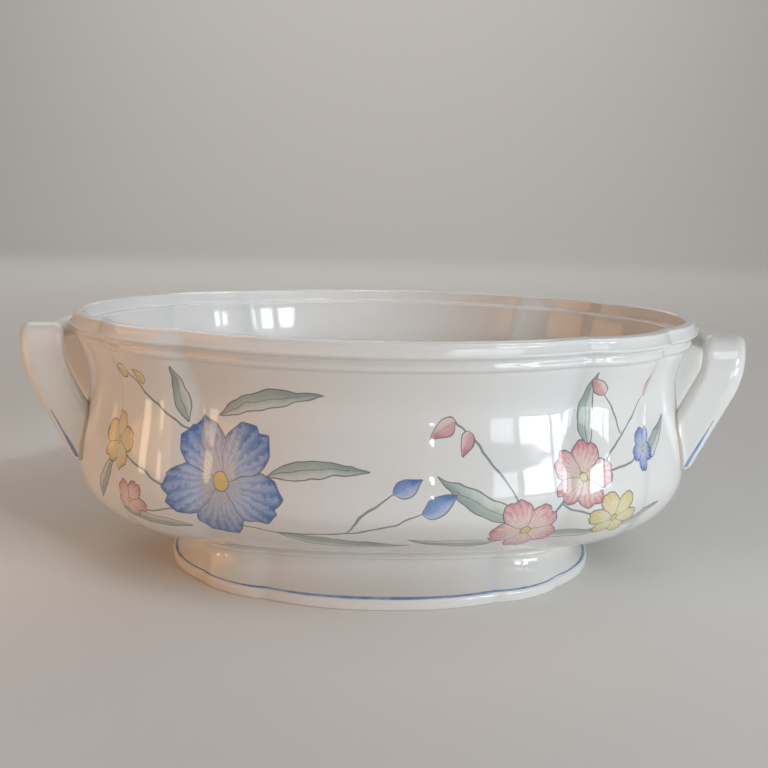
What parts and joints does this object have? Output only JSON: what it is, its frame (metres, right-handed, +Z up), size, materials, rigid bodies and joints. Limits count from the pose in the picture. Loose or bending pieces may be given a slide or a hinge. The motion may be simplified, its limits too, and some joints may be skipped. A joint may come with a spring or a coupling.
{
  "type": "soup tureen",
  "caption": "Oval soup tureen without its lid: a fluted, glazed bowl with a rolled rim and a lid seat, on a flared foot, with a leaning strap handle at each end.",
  "frame": {"origin": "in the plane that the foot stands on, under the middle of the bowl, which is the middle of the object's box", "axes": "+Z up; +X along the oval's long way, towards the right handle; +Y to the back, across the oval"},
  "size_m": [0.3334, 0.2198, 0.1165],
  "materials": {
    "bowl_glaze": "glossy white glaze, slightly warm, with a floral decoration in blue, pink, yellow and grey-green",
    "foot_glaze": "glossy white glaze with a thin blue line above the edge",
    "handle_glaze": "glossy white glaze with a thin blue line along the outer edge"
  },
  "bodies": {
    "root": {"bowl": "bowl_glaze", "foot_ring": "foot_glaze", "handle_right": "handle_glaze", "handle_left": "handle_glaze"}
  },
  "joints": []
}
